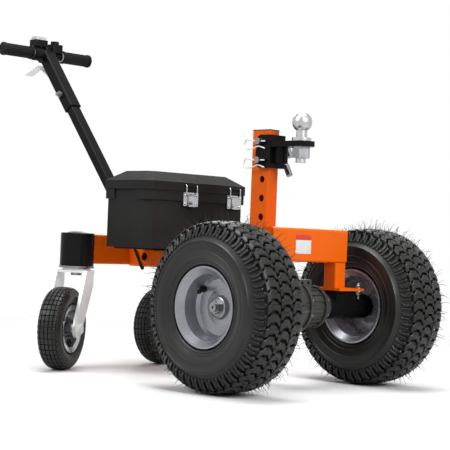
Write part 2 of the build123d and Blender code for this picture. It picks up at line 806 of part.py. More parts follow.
def ball_mount():
    """Channel that straddles the post's front, with the ball platform and its gusset."""
    outer = cheek_inner_y + cheek_thickness
    mount = Part()
    for low in (-outer, cheek_inner_y):
        cheek = block((cheek_rear, mount_front), (low, low + cheek_thickness), (cheek_bottom, cheek_top))
        corners = cheek.edges().filter_by(Axis.Y).group_by(Axis.X)[0]
        mount += fillet(corners, cheek_corner)
    mount += block((post_front + mount_gap, mount_front), (-outer, outer), (cheek_bottom, cheek_top))
    half, low = platform_width / 2, platform_top - platform_thickness
    clip_x, clip_y = platform_front - platform_clip, half - platform_clip
    plan = Polyline((mount_front, -half), (clip_x, -half), (platform_front, -clip_y),
                    (platform_front, clip_y), (clip_x, half), (mount_front, half), close=True)
    mount += extrude(Plane(origin=(0, 0, low)) * make_face(plan), platform_thickness)
    bottom, depth = cheek_bottom + gusset_rise, gusset_length + mount_web
    plane = Plane(origin=(mount_front + gusset_length - depth / 2, 0, bottom))
    mount += extrude(plane * RectangleRounded(depth, gusset_width, gusset_corner), low - bottom)
    mount -= rod((ball_x, 0, low), (ball_x, 0, platform_top), ball_shank_radius + ball_hole_gap)
    for step in range(2):
        hole_z = pin_hole_top - step * pin_hole_pitch
        mount -= rod((pin_x, -2 * outer, hole_z), (pin_x, 2 * outer, hole_z), pin_hole_radius)
    return mount


def hitch_ball():
    """Ball with its neck, collar and shank."""
    collar_top = platform_top + ball_collar_height
    ball = Pos(ball_x, 0, ball_centre_z) * Sphere(ball_radius)
    ball += rod((ball_x, 0, collar_top), (ball_x, 0, ball_centre_z), ball_neck_radius)
    ball += rod((ball_x, 0, platform_top), (ball_x, 0, collar_top), ball_collar_radius)
    return ball + rod((ball_x, 0, ball_shank_end), (ball_x, 0, platform_top), ball_shank_radius)


def ball_nut():
    """Washer and nut under the platform."""
    seat = platform_top - platform_thickness
    nut_top = seat - ball_washer_thickness
    nut = rod((ball_x, 0, nut_top), (ball_x, 0, seat), ball_washer_radius)
    nut += hexagon((ball_x, 0, nut_top - ball_nut_height), (ball_x, 0, nut_top), ball_nut_width)
    return nut - rod((ball_x, 0, 0), (ball_x, 0, seat), ball_shank_radius + ball_hole_gap)


def hitch_pins():
    """Hitch pins through the cheeks and post, bent down on the left, cross-drilled on the right for clips."""
    outer = cheek_inner_y + cheek_thickness
    lean = radians(pin_handle_angle)
    handle_x, handle_z = pin_handle_length * sin(lean), pin_handle_length * cos(lean)
    pins = Part()
    for step in range(2):
        z = pin_hole_top - step * pin_hole_pitch
        end = outer + pin_stand_left + pin_bend_radius
        pin = bent_wire([(pin_x, -outer - pin_stand_right, z), (pin_x, end, z),
                         (pin_x + handle_x, end, z - handle_z)], pin_bend_radius, pin_radius)
        clip_y = -outer - pin_stand_right + clip_inset
        pins += pin - rod((pin_x - 2 * pin_radius, clip_y, z), (pin_x + 2 * pin_radius, clip_y, z),
                          clip_wire_radius + clip_gap)
    return pins


def pin_clips():
    """Spring clips through the pins' right-hand ends: a straight leg, a round loop and an outer leg."""
    outer = cheek_inner_y + cheek_thickness
    y = -outer - pin_stand_right + clip_inset
    rear, front = pin_x - clip_rear_reach, pin_x + clip_front_reach
    clips = Part()
    for step in range(2):
        z = pin_hole_top - step * pin_hole_pitch
        top, under = z + clip_loop_rise, z - pin_radius - 2 * clip_wire_radius
        low, back = top - 2 * clip_loop_radius, rear - clip_loop_radius
        points = [(front, y, z), (pin_x - clip_straight, y, z), (back, y, top), (back, y, low),
                  (rear + clip_loop_radius, y, low), (pin_x, y, under), (front, y, under - clip_tail_drop)]
        clips += bent_wire(points, clip_bend, clip_wire_radius)
    return clips


def handle_foot():
    """Bracket on the rear beam: base plate and two cheeks that hold the pole's foot."""
    half = rear_beam_depth / 2
    base = block((rear_beam_x - half, rear_beam_x + half), (-foot_plate_width / 2, foot_plate_width / 2),
                 (rear_beam_top, foot_top))
    eye = foot_point + pole_up * foot_bolt_distance
    front = eye + Vector(cos(radians(pole_angle)), 0, sin(radians(pole_angle))) * foot_eye_radius
    outline = Polyline((rear_beam_x - half, foot_top), (rear_beam_x + half, foot_top), (front.X, front.Z),
                       (eye.X - foot_eye_radius, eye.Z), close=True)
    cheek = make_face(outline) + Pos(eye.X, eye.Z) * Circle(foot_eye_radius)
    inner = pole_width / 2 + foot_cheek_gap
    foot = base
    for y in (inner, -inner - foot_cheek_thickness):
        foot += extrude(upright_plane(y) * cheek, -foot_cheek_thickness)
    outer = inner + foot_cheek_thickness
    for side in (-1, 1):
        seat = Vector(eye.X, side * outer, eye.Z)
        foot += hexagon(seat, seat + Vector(0, side * lock_nut_height, 0), lock_nut_width)
    return foot


def handle_lower_tube():
    """Lower pole tube, open at its top inside the sleeve."""
    plane, length = pole_plane(pole_start), pole_end - pole_start
    return square_tube(plane, pole_width, pole_depth, length, pole_wall, pole_corner)


def handle_sleeve():
    """Upper pole tube that slides on the lower one, notched for the handlebar."""
    plane = pole_plane(sleeve_start)
    sleeve = square_tube(plane, sleeve_width, sleeve_depth, sleeve_length, sleeve_wall, sleeve_corner)
    reach = Vector(0, sleeve_width, 0)
    return sleeve - rod(bar_centre - reach, bar_centre + reach, bar_radius + bar_fit_gap)


def sleeve_lock():
    """Clamping bolt through the sleeve's right wall, with its nut, stopping short of the lower tube."""
    plane = pole_plane(sleeve_start + lock_distance)
    outer = plane.origin + Vector(0, -sleeve_width / 2, 0)
    nut = hexagon(outer, outer + Vector(0, -lock_nut_height, 0), lock_nut_width)
    return nut + rod(outer + Vector(0, -2 * lock_nut_height, 0), outer, lock_bolt_radius)


def handlebar():
    """Cross bar on top of the sleeve."""
    reach = Vector(0, bar_half_length, 0)
    return rod(bar_centre - reach, bar_centre + reach, bar_radius)


def on_bar(low, high, radius):
    """Ring round the handlebar between two y values."""
    start, end = bar_centre + Vector(0, low, 0), bar_centre + Vector(0, high, 0)
    return rod(start, end, radius) - rod(start, end, bar_radius + bar_fit_gap)


def grips():
    """Rubber grips with a flange at each end."""
    end = -bar_half_length
    grip = on_bar(end, -grip_inner_y, grip_radius)
    grip += on_bar(end, end + grip_end_width, grip_flange_radius)
    return pair(grip + on_bar(-grip_inner_y - grip_flange_width, -grip_inner_y, grip_flange_radius))


def bar_collars():
    """Bright clamp rings beside the grips."""
    return pair(on_bar(-grip_inner_y, collar_width - grip_inner_y, collar_radius))


def throttle():
    """Thumb throttle beside the right grip: ring and lever."""
    outer = grip_inner_y - collar_width
    body = on_bar(-outer, -throttle_inner_y, throttle_radius)
    lever = block((-throttle_lever_thickness / 2, throttle_lever_thickness / 2),
                  (-throttle_lever_width / 2, throttle_lever_width / 2),
                  (-throttle_lever_length, -throttle_radius + throttle_lever_thickness / 2))
    middle = -(outer + throttle_inner_y) / 2
    return body + Pos(bar_centre.X, middle, bar_centre.Z) * Rot(0, -pole_angle, 0) * lever


def on_top_of_bar(y, width, depth, rise, height):
    """Housing that stands on the handlebar, hollowed to sit on it."""
    base = bar_centre.Z + rise
    housing = block((bar_centre.X - depth / 2, bar_centre.X + depth / 2), (y - width / 2, y + width / 2),
                    (base, base + height))
    housing = fillet(housing.edges().filter_by(Axis.Z), bar_seat)
    return housing


def control_box():
    """Control housing above the right end of the bar, on a saddle round the bar."""
    rise = throttle_radius + bar_fit_gap
    return on_top_of_bar(control_y, control_width, control_depth, rise, control_height)


def control_cover():
    """Clear cover on the control housing."""
    rise = throttle_radius + bar_fit_gap + control_height
    width, depth = control_width - 2 * cover_inset, control_depth - 2 * cover_inset
    return on_top_of_bar(control_y, width, depth, rise, cover_height)


def switch_pod():
    """Switch housing above the left end of the bar with its round knob."""
    pod = on_top_of_bar(pod_y, pod_width, pod_depth, pod_rise, pod_height)
    pod -= rod(bar_centre, bar_centre + Vector(0, bar_half_length, 0), bar_radius + bar_fit_gap)
    top = bar_centre.Z + pod_rise + pod_height
    return pod + rod((bar_centre.X, pod_y, top), (bar_centre.X, pod_y, top + knob_height), knob_radius)


def hook_plate():
    """Bent strip on the rear of the sleeve."""
    strip = Part()
    for start, end in ((hook_root, hook_apex), (hook_apex, hook_tip)):
        run = end - start
        plane = Plane(origin=start, x_dir=(0, 1, 0), z_dir=run)
        strip += extrude(plane * Rectangle(hook_width, hook_thickness), run.length)
    half = Vector(0, hook_width / 2, 0)
    strip += rod(hook_apex - half, hook_apex + half, hook_thickness / 2)
    depth = sleeve_depth / 2
    return strip - extrude(pole_plane(sleeve_start) * Rectangle(sleeve_width, 2 * depth), sleeve_length)


def power_cable():
    """Cable out of the rear beam, down the spine's right side, up into it and out again to the motor."""
    side = -spine_width / 2 - cable_radius - cable_side_gap
    low, inside = spine_bottom - cable_dip, spine_bottom + cable_inside_rise
    points = [
        (spine_rear, side, spine_bottom + cable_exit_rise),
        (spine_rear + cable_lead, side, spine_bottom + cable_exit_rise),
        (spine_hole_x, side, low), (cable_in_x, cable_hole_y, low), (cable_in_x, cable_hole_y, inside),
        (cable_out_x, cable_hole_y, inside), (cable_out_x, cable_hole_y, low),
        (motor_rear - cable_lead, 0, axle_z), (motor_rear, 0, axle_z),
    ]
    return bent_wire(points, cable_bend, cable_radius)


def on_axle(piece, side):
    """Place a wheel piece made about y = 0 on the right (-1) or left (+1) end of the axle."""
    placed = Pos(0, -half_track, axle_z) * piece
    return placed if side < 0 else mirror(placed, about=Plane.XZ)


def on_swivel(piece, side, swing):
    """Turn a caster piece to its swing angle and place it under the right (-1) or left (+1) drum."""
    return Pos(rear_beam_x, side * swivel_y, 0) * Rot(0, 0, swing) * piece


def main():
    os.makedirs("parts", exist_ok=True)
    nodes = {
        "front_beam": front_beam(), "axle_brackets": axle_brackets(), "hitch_post": hitch_post(),
        "frame_spine": frame_spine(), "post_brace": post_brace(), "rear_beam": rear_beam(),
        "caster_drums": caster_drums(), "drum_caps": drum_caps(), "caster_plates": caster_plates(),
        "gearbox": gearbox(), "axle_tubes": axle_tubes(), "drive_motor": drive_motor(),
        "battery_tray": battery_tray(), "battery_box": battery_box(), "batteries": batteries(),
        "latch_plates": latch_plates(), "battery_lid": battery_lid(), "latch_bails": latch_bails(),
        "ball_mount": ball_mount(), "hitch_ball": hitch_ball(), "ball_nut": ball_nut(),
        "hitch_pins": hitch_pins(), "pin_clips": pin_clips(), "handle_foot": handle_foot(),
        "handle_lower_tube": handle_lower_tube(), "handle_sleeve": handle_sleeve(),
        "sleeve_lock": sleeve_lock(), "handlebar": handlebar(), "grips": grips(),
        "bar_collars": bar_collars(), "throttle": throttle(),
        "control_box": control_box(), "control_cover": control_cover(), "switch_pod": switch_pod(),
        "hook_plate": hook_plate(), "power_cable": power_cable(),
    }
    sides = (("right", -1, caster_right_angle), ("left", 1, caster_left_angle))
    for name, side, swing in sides:
        nodes[f"drive_tyre_{name}"] = on_axle(drive_tyre(), side)
        nodes[f"drive_rim_{name}"] = on_axle(drive_rim(), side)
        nodes[f"drive_hub_{name}"] = on_axle(drive_hub(), side)
        nodes[f"caster_fork_{name}"] = on_swivel(caster_fork(), side, swing)
        nodes[f"caster_axle_{name}"] = on_swivel(caster_axle(), side, swing)
        nodes[f"caster_rim_{name}"] = on_swivel(caster_rim(), side, swing)
        nodes[f"caster_tyre_{name}"] = on_swivel(caster_tyre(), side, swing)
    for name, piece in nodes.items():
        export_step(Pos(-origin_x, -origin_y, 0) * piece, f"parts/{name}.step")


main()
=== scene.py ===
import json
import random
from math import cos, pi, radians, sin

import bpy
from mathutils import Matrix, Vector


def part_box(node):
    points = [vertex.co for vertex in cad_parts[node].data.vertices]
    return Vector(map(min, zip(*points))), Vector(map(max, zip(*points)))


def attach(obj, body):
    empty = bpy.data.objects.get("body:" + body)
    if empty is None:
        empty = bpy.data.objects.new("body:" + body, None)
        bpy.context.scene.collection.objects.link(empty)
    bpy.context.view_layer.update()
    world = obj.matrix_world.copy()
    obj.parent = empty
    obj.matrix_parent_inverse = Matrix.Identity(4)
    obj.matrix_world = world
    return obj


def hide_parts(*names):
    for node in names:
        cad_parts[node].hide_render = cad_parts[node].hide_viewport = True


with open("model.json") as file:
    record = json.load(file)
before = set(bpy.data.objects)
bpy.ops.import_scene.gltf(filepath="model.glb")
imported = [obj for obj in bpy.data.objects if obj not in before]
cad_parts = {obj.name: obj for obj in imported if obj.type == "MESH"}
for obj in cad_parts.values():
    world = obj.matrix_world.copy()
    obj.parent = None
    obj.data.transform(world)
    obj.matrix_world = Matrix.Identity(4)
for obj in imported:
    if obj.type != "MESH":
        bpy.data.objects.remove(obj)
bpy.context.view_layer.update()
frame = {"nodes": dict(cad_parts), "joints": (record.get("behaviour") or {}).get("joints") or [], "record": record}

bl_info = {
    "name": "Trailer dolly dressing",
    "version": (1, 0, 0),
    "blender": (4, 5, 0),
    "location": "3D View > Sidebar > Dolly",
    "description": "Dresses the trailer dolly: tyres, fasteners, controls, finishes and the studio",
    "category": "Object",
}

SIDES = ("right", "left")
MM = 1000  # millimetres in a metre
SAME_PLACE = 1e-5  # vertices nearer than this are merged, in metres

# Edges flatter than these angles are shaded smooth, in degrees
TYRE_SMOOTH = 32
PART_SMOOTH = 30

# Height of the drive axle over the floor and radius at which turned pieces close round their axis, in millimetres
AXLE_HEIGHT = 190.5
CORE = 0.3

# Nodes that show another finish than the one of their slot
PALE_ZINC_NODES = ("pin_clips", "caster_fork", "caster_axle")
BRUSHED_NODES = ("caster_rim",)


class DollyColours(bpy.types.PropertyGroup):
    """Colours of the finishes."""
    orange: bpy.props.FloatVectorProperty(
        name="Orange coat", description="Powder coat of the frame", subtype="COLOR", size=3,
        default=(0.84, 0.128, 0.003), min=0, max=1)
    black: bpy.props.FloatVectorProperty(
        name="Black coat", description="Powder coat of drums, axle and handle", subtype="COLOR", size=3,
        default=(0.007, 0.007, 0.0075), min=0, max=1)
    rubber: bpy.props.FloatVectorProperty(
        name="Tyre rubber", description="Tread and sidewalls", subtype="COLOR", size=3,
        default=(0.0074, 0.0072, 0.0066), min=0, max=1)
    box: bpy.props.FloatVectorProperty(
        name="Box plastic", description="Battery box and lid", subtype="COLOR", size=3,
        default=(0.021, 0.0205, 0.02), min=0, max=1)
    rim: bpy.props.FloatVectorProperty(
        name="Rim coat", description="Silver grey coat of the drive rims", subtype="COLOR", size=3,
        default=(0.27, 0.275, 0.3), min=0, max=1)


class DollyTread(bpy.types.PropertyGroup):
    """Tread of the drive tyres."""
    pitches: bpy.props.IntProperty(
        name="Pitches", description="Rows of blocks round the tyre", default=47, min=20, max=80)
    block_length: bpy.props.FloatProperty(
        name="Block length", description="Length of a block along the tread", unit="LENGTH", default=0.0184)
    point: bpy.props.FloatProperty(
        name="Block point", description="How far the middle of a block stands out of line", unit="LENGTH",
        default=0.0086)
    depth: bpy.props.FloatProperty(
        name="Groove depth", description="Depth of the grooves", unit="LENGTH", default=0.0085)
    hair: bpy.props.FloatProperty(
        name="Vent hair", description="Mean length of the rubber vent hairs", unit="LENGTH", default=0.0155)


# Outer sections of the tyres from the middle of the tread to the widest point of the sidewall: y, radius, millimetres
DRIVE_SECTION = [(0, 190.5), (21, 189.9), (42, 188), (49, 186.6), (54.7, 184.3), (58.6, 179.2), (61, 172), (66, 162),
                 (70.5, 152), (73.5, 142), (75, 132)]
CASTER_SECTION = [(0, 103), (9, 102.6), (18, 101.5), (22, 99.5), (25, 96.5), (26, 93), (29.5, 86), (31, 78)]

# One half of each turned carcass, from the bore round the sidewall to the crown under the tread: radius, y, millimetres
DRIVE_WALL = [(76.6, 0), (76.6, 49.6), (90.7, 57.5), (93.4, 58.5), (94.6, 64.4), (97, 66.6), (99, 67.2), (100.4, 66),
              (105, 67.6), (106, 68.9), (107.2, 68.3), (113, 70.7), (121, 72.6), (122, 73.7), (123.2, 73.1),
              (130, 74.2), (136, 74.4), (141.5, 73.6), (142.6, 75.2), (145.4, 75), (147, 72), (154, 66.5), (160, 61.5),
              (166, 56.5), (172, 51.5), (177, 45), (180, 37), (181.4, 20), (181.8, 0)]
CASTER_WALL = [(50.4, 0), (50.4, 20.6), (60.4, 20.6), (62.5, 24), (65, 27.2), (66.5, 27.6), (68, 27), (73, 29.6),
               (78, 30.8), (83, 29.8), (86, 28.2), (87, 28.6), (89, 27), (92, 24.4), (96, 20), (98, 14), (98.6, 0)]

# Form of a tread block: how far from its middle it stands out of line, as a share of its width; flare of its foot;
# width of its eased edge as a share of the groove's depth; least angle of an eased edge, in degrees
BLOCK_POINTED = 0.25
BLOCK_FLARE = (1.1, 1.02, 1)
BLOCK_EDGE = 0.22
BLOCK_EDGE_ANGLE = 50

# Tread of the caster tyres
CASTER_PITCHES = 44
CASTER_DEPTH = 0.0034

# Vent hairs: distances along the section, radii, bent end of a hair of unit length, depth of its root in the rubber,
# seed of the chance draws, widest lean, reach of its end in lengths, and how near the floor that end may come
HAIR_COLUMNS = (-0.075, -0.06, -0.042, -0.03, -0.012, 0.001, 0.014, 0.03, 0.042, 0.06, 0.075)
HAIR_ROOT = 0.0008
HAIR_TIP = 0.0004
HAIR_BEND = (0.0025, 0, 0.35)
HAIR_SUNK = 0.001
HAIR_SEED = 7
HAIR_LEAN = 0.45
HAIR_REACH = 1.4
HAIR_CLEARANCE = 0.004


# Modelling helpers

def clear_selection():
    if bpy.context.object and bpy.context.object.mode != "OBJECT":
        bpy.ops.object.mode_set(mode="OBJECT")
    bpy.ops.object.select_all(action="DESELECT")


def select_only(piece):
    clear_selection()
    bpy.context.view_layer.objects.active = piece
    piece.select_set(True)


def settle(piece, name):
    """Puts a piece's place into its mesh and names it."""
    select_only(piece)
    bpy.ops.object.transform_apply(location=True, rotation=True, scale=True)
    piece.name = name
    piece.data.name = name
    return piece


def edit(piece):
    """Enters edit mode on one piece with everything selected."""
    select_only(piece)
    bpy.ops.object.mode_set(mode="EDIT")
    bpy.ops.mesh.select_mode(type="VERT")
    bpy.ops.mesh.select_all(action="SELECT")


def leave_edit(merge=None):
    """Leaves edit mode with the normals facing outward, after merging near vertices when asked for."""
    bpy.ops.mesh.select_all(action="SELECT")
    if merge:
        bpy.ops.mesh.remove_doubles(threshold=merge)
    bpy.ops.mesh.normals_make_consistent(inside=False)
    bpy.ops.object.mode_set(mode="OBJECT")


def pick(piece, test, kind="VERT"):
    """Selects the vertices (or faces) of the piece in edit mode that pass a test of their place."""
    bpy.ops.object.mode_set(mode="OBJECT")
    mesh = piece.data
    for group in (mesh.polygons, mesh.edges, mesh.vertices):
        group.foreach_set("select", [False] * len(group))
    if kind == "FACE":
        for face in mesh.polygons:
            face.select = test(face.center, face.normal)
    else:
        for vertex in mesh.vertices:
            vertex.select = test(vertex.co)
    bpy.ops.object.mode_set(mode="EDIT")
    bpy.ops.mesh.select_mode(type=kind)


def smooth(piece, angle):
    """Shades a piece smooth, apart from edges sharper than an angle in degrees."""
    select_only(piece)
    bpy.ops.object.shade_smooth_by_angle(angle=radians(angle))
    return piece


def lathe(name, profile, segments):
    """Turns a closed ring of (radius, y) corners in millimetres about the Y axis by extruding and scaling a circle."""
    clear_selection()
    profile = [(radius / MM, y / MM) for radius, y in profile]
    radius, y = profile[0]
    bpy.ops.mesh.primitive_circle_add(vertices=segments, radius=radius, location=(0, y, 0), rotation=(pi / 2, 0, 0))
    piece = settle(bpy.context.object, name)
    edit(piece)
    for next_radius, next_y in profile[1:] + profile[:1]:
        bpy.ops.mesh.extrude_region_move(TRANSFORM_OT_translate={"value": (0, next_y - y, 0)})
        scale = next_radius / radius
        bpy.ops.transform.resize(value=(scale, 1, scale), center_override=(0, next_y, 0))
        radius, y = next_radius, next_y
    leave_edit(merge=SAME_PLACE)
    return piece


def repeat(source, name, places):
    """Copies a modelled piece to each place, every copy with its own mesh, and joins the copies."""
    copies = []
    for place in places:
        copy = bpy.data.objects.new(name, source.data.copy())
        copy.data.transform(place)
        bpy.context.scene.collection.objects.link(copy)
        copies.append(copy)
    return join(copies, name)


def join(pieces, name):
    clear_selection()
    for piece in pieces:
        piece.select_set(True)
    bpy.context.view_layer.objects.active = pieces[0]
    if len(pieces) > 1:
        bpy.ops.object.join()
    joined = bpy.context.object
    joined.name = name
    joined.data.name = name
    return joined


def remove(piece):
    bpy.data.objects.remove(piece)


def finish_piece(piece, body, slot, material, *replaced):
    """Gives a piece its finish and makes it ride on its body."""
    piece.data.materials.clear()
    piece.data.materials.append(material)
    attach(piece, body)
    if replaced:
        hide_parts(*replaced)


def along(direction, place, axis=(0, 1, 0)):
    """Matrix that carries an axis, +Y unless given, onto a direction and the origin onto a place."""
    turn = Vector(axis).rotation_difference(Vector(direction)).to_matrix().to_4x4()
    return Matrix.Translation(Vector(place)) @ turn


def turned_to(direction, place):
    """Matrix that carries +Z onto a direction and the origin onto a place."""
    return along(direction, place, (0, 0, 1))


def centre_of(node):
    low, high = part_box(node)
    return (low + high) / 2


def caster_axle(side):
    """Matrix that carries the Y axis onto the axle of a caster wheel."""
    spin = next(joint for joint in frame["joints"] if joint["name"] == "caster_spin_" + side)
    return along(spin["axis"], spin["pos_m"])


# Tyres

def section_point(section, distance):
    """Point and outward normal of a tyre section at a distance along it from the middle, in metres."""
    side = -1 if distance < 0 else 1
    left = abs(distance) * MM
    for (y0, r0), (y1, r1) in zip(section, section[1:]):
        run = ((y1 - y0) ** 2 + (r1 - r0) ** 2) ** 0.5
        if left <= run or (y1, r1) == section[-1]:
            part = left / run
            y, r = y0 + (y1 - y0) * part, r0 + (r1 - r0) * part
            normal = Vector(((r0 - r1) / run, (y1 - y0) / run))
            return Vector((side * y, r)) / MM, Vector((side * normal.x, normal.y))
        left -= run


def both_halves(wall):
    """Closed ring of corners from one half of a carcass."""
    return wall + [(radius, -y) for radius, y in reversed(wall[1:-1])]


def column_pair(start, end, length, point, shift):
    """A column of tread blocks and its mirror image: start and end across the tread, shift round it in pitches."""
    return [(start, end, length, point, shift), (-end, -start, length, point, shift)]


def tread_block(name, section, start, end, length, point, depth):
    """One tread block at the top of a tyre: a grid bent to a blunt arrow, thickened, eased and laid on the section."""
    width = end - start
    clear_selection()
    bpy.ops.mesh.primitive_grid_add(x_subdivisions=1, y_subdivisions=7, size=1)
    block = bpy.context.object
    block.scale = (length, width, 1)
    settle(block, name)
    edit(block)
    pick(block, lambda co: abs(co.y) < width * BLOCK_POINTED)
    bpy.ops.transform.translate(value=(point, 0, 0))
    bpy.ops.mesh.select_all(action="SELECT")
    bpy.ops.mesh.extrude_region_move(TRANSFORM_OT_translate={"value": (0, 0, -depth)})
    bpy.ops.transform.resize(value=BLOCK_FLARE, center_override=(point / 2, 0, -depth))
    leave_edit()
    edge = block.modifiers.new("Edge", "BEVEL")
    edge.width = depth * BLOCK_EDGE
    edge.segments = 1
    edge.angle_limit = radians(BLOCK_EDGE_ANGLE)
    bpy.ops.object.modifier_apply(modifier=edge.name)
    middle = (start + end) / 2
    for vertex in block.data.vertices:
        place, normal = section_point(section, middle + vertex.co.y)
        outward = place + normal * vertex.co.z
        sag = vertex.co.x ** 2 / (2 * place.y)
        vertex.co = (vertex.co.x, outward.x, outward.y - sag)
    return block


def tread(name, section, columns, pitches, depth):
    """Blocks of all columns, copied round the tyre about the Y axis."""
    rings = []
    for start, end, length, point, shift in columns:
        block = tread_block(name, section, start, end, length, point, depth)
        places = [Matrix.Rotation(2 * pi * (step + shift) / pitches, 4, "Y") for step in range(pitches)]
        rings.append(repeat(block, name, places))
        remove(block)
    return join(rings, name)


class DOLLY_OT_drive_tyres(bpy.types.Operator):
    """Turf tyres: ribbed sidewalls, blunt arrow blocks and shoulder lugs"""
    bl_idname = "dolly.drive_tyres"
    bl_label = "Drive tyres"

    def execute(self, context):
        sizes = context.scene.dolly_tread
        whole, bar, short_bar = (sizes.block_length * share for share in (1, 0.43, 0.34))
        columns = [(-0.0172, 0.0172, whole, -sizes.point, 0.0)]
        columns += column_pair(0.0192, 0.0552, whole, -sizes.point, 0.5)
        columns += column_pair(0.0575, 0.0868, bar, 0.003, 0.12)
        columns += column_pair(0.0635, 0.0868, short_bar, 0, 0.62)
        body = lathe("drive_carcass", both_halves(DRIVE_WALL), 120)
        blocks = tread("drive_tread", DRIVE_SECTION, columns, sizes.pitches, sizes.depth)
        tyre = join([body, blocks], "turf_tyre")
        for side in SIDES:
            node = "drive_tyre_" + side
            piece = smooth(repeat(tyre, "turf_tyre_" + side, [Matrix.Translation(centre_of(node))]), TYRE_SMOOTH)
            finish_piece(piece, "drive_wheel_" + side, "tyre_rubber", tyre_rubber(), node)
        remove(tyre)
        return {"FINISHED"}


class DOLLY_OT_vent_hairs(bpy.types.Operator):
    """Thin rubber vent hairs left on the tread by the mould"""
    bl_idname = "dolly.vent_hairs"
    bl_label = "Vent hairs"

    def execute(self, context):
        sizes = context.scene.dolly_tread
        clear_selection()
        bpy.ops.mesh.primitive_cone_add(vertices=4, radius1=HAIR_ROOT, radius2=HAIR_TIP, depth=1)
        hair = bpy.context.object
        hair.location = (0, 0, 0.5)
        settle(hair, "vent_hair")
        edit(hair)
        pick(hair, lambda co: co.z > 0.5)
        bpy.ops.mesh.extrude_region_move(TRANSFORM_OT_translate={"value": HAIR_BEND})
        leave_edit()
        chance = random.Random(HAIR_SEED)
        for side in SIDES:
            places = []
            middle = centre_of("drive_tyre_" + side)
            for step in range(sizes.pitches):
                for column in HAIR_COLUMNS:
                    angle = 2 * pi * (step + chance.uniform(-0.3, 0.3)) / sizes.pitches
                    length = sizes.hair * chance.uniform(0.45, 1.3)
                    lean = (chance.uniform(-HAIR_LEAN, HAIR_LEAN), chance.uniform(-HAIR_LEAN, HAIR_LEAN))
                    place, normal = section_point(DRIVE_SECTION, column)
                    turn = Matrix.Rotation(angle, 4, "Y")
                    spot = turn @ Vector((0, place.x, place.y - HAIR_SUNK))
                    out = turn @ Vector((lean[0], normal.x + lean[1], normal.y)).normalized()
                    if (spot + out * length * HAIR_REACH).z + middle.z < HAIR_CLEARANCE:
                        continue
                    places.append(turned_to(out, middle + spot) @ Matrix.Diagonal((1, 1, length, 1)))
            piece = repeat(hair, "vent_hairs_" + side, places)
            finish_piece(piece, "drive_wheel_" + side, "tyre_rubber", tyre_rubber())
        remove(hair)
        return {"FINISHED"}


class DOLLY_OT_caster_tyres(bpy.types.Operator):
    """Caster tyres with a grooved tread of small blocks"""
    bl_idname = "dolly.caster_tyres"
    bl_label = "Caster tyres"

    def execute(self, context):
        columns = [(-0.0044, 0.0044, 0.0122, 0.0006, 0.0)]
        columns += column_pair(0.0062, 0.015, 0.0122, 0.0006, 0.0)
        columns += column_pair(0.0168, 0.0235, 0.0118, 0.0004, 0.0)
        columns += column_pair(0.025, 0.034, 0.0105, 0.0002, 0.5)
        body = lathe("caster_carcass", both_halves(CASTER_WALL), 80)
        blocks = tread("caster_tread", CASTER_SECTION, columns, CASTER_PITCHES, CASTER_DEPTH)
        tyre = join([body, blocks], "caster_tyre")
        for side in SIDES:
            piece = smooth(repeat(tyre, "ribbed_tyre_" + side, [caster_axle(side)]), TYRE_SMOOTH)
            finish_piece(piece, "caster_wheel_" + side, "tyre_rubber", tyre_rubber(), "caster_tyre_" + side)
        remove(tyre)
        return {"FINISHED"}


# Fasteners and trim

def at(x, y, z):
    """Point from the middle of the drive axle: x and y from it and z from the floor, in millimetres."""
    axle = (centre_of("drive_tyre_right") + centre_of("drive_tyre_left")) / 2
    return Vector((axle.x + x / MM, axle.y + y / MM, z / MM))


def bolt_circle(count, radius, y):
    """Places on a circle about the drive axle, each facing +Y, in millimetres."""
    angles = [2 * pi * (step + 0.5) / count for step in range(count)]
    return [along((0, 1, 0), at(radius * cos(angle), y, AXLE_HEIGHT + radius * sin(angle))) for angle in angles]


def hex_bolt(name, width, height, washer, stub=0.0):
    """Hexagon head with eased corners on a washer, in millimetres; a threaded end shows above it when asked for."""
    across, top = width / 3 ** 0.5, washer + height
    head = [(CORE, washer), (across * 0.96, washer), (across, washer + height * 0.12),
            (across, washer + height * 0.84), (across * 0.84, top), (CORE, top)]
    under = [(CORE, 0), (across * 1.22, 0), (across * 1.25, washer * 0.4), (across * 1.22, washer), (CORE, washer)]
    pieces = [lathe(name, head, 6), lathe(name, under, 28)]
    if stub:
        pitch, low = 1.6, washer + height * 0.9
        turns = int(stub / pitch)
        thread = [(CORE, low)]
        for step in range(turns):
            thread += [(width * 0.26, low + pitch * step), (width * 0.3, low + pitch * step + pitch / 2)]
        thread += [(width * 0.24, low + pitch * turns), (CORE, low + pitch * turns)]
        pieces.append(lathe(name, thread, 16))
    return join(pieces, name)


def ride_copies(source, name, body, slot, material, places):
    """Copies a modelled piece to its places as one piece that rides on a body."""
    piece = smooth(repeat(source, name, places), PART_SMOOTH)
    finish_piece(piece, body, slot, material)


def spread_copies(source, *where):
    """Copies a modelled piece to its places and removes the piece it was copied from."""
    ride_copies(source, *where)
    remove(source)


def plate(name, size, edge):
    """Block of the given sizes in millimetres with eased edges, middle at the origin."""
    clear_selection()
    bpy.ops.mesh.primitive_cube_add(size=1)
    block = bpy.context.object
    block.scale = tuple(part / MM for part in size)
    settle(block, name)
    edit(block)
    bpy.ops.mesh.bevel(offset=edge / MM, segments=2)
    leave_edit()
    return block


